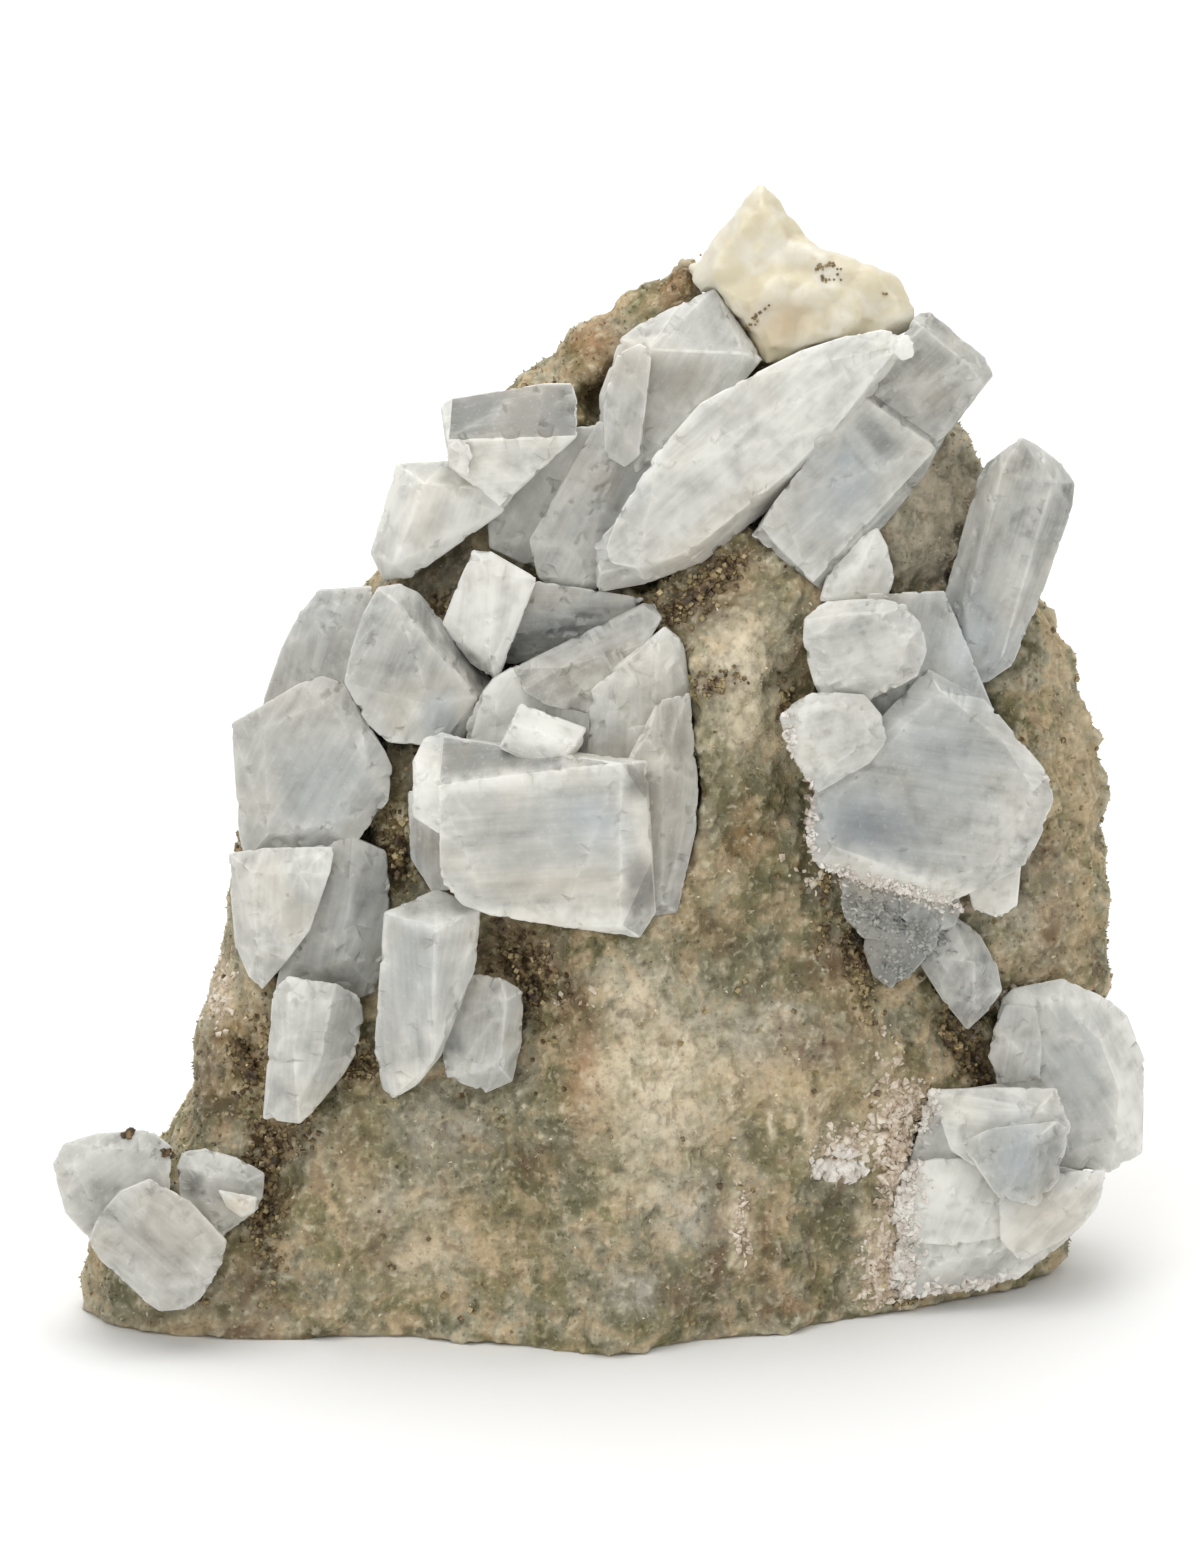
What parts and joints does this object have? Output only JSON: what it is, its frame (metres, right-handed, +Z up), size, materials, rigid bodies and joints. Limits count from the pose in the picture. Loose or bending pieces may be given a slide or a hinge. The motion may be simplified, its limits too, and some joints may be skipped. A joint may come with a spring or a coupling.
{
  "type": "barite and pyrite mineral specimen",
  "caption": "Natural hand specimen: pale blue barite crystals and small pyrite cubes grown on a greenish rock with a calcite crest, standing on a flat cut base.",
  "frame": {"origin": "on the cut base face, under the middle of the front view", "axes": "+Z up, -Y towards the crystal side, +X to the right seen from the crystal side"},
  "size_m": [0.0865, 0.044, 0.0904],
  "materials": {
    "matrix": "fine-grained greenish-brown rock with tan patches and a sparkling druse",
    "calcite": "cream-white, rough and slightly translucent",
    "barite": "pale grey-blue, milky and translucent, with glassy flat faces",
    "pyrite": "dull brassy metallic grains"
  },
  "bodies": {
    "root": {"matrix_rock": "matrix", "calcite_crest": "calcite", "barite_crest": "barite", "barite_centre": "barite", "barite_left": "barite", "barite_lower_left": "barite", "barite_right": "barite", "barite_foot_left": "barite", "barite_foot_right": "barite", "pyrite_crevice": "pyrite", "pyrite_pocket": "pyrite", "pyrite_hollow": "pyrite", "pyrite_left_seam": "pyrite", "pyrite_left_edge": "pyrite", "pyrite_right_seam": "pyrite", "pyrite_foot_seam": "pyrite"}
  },
  "joints": []
}
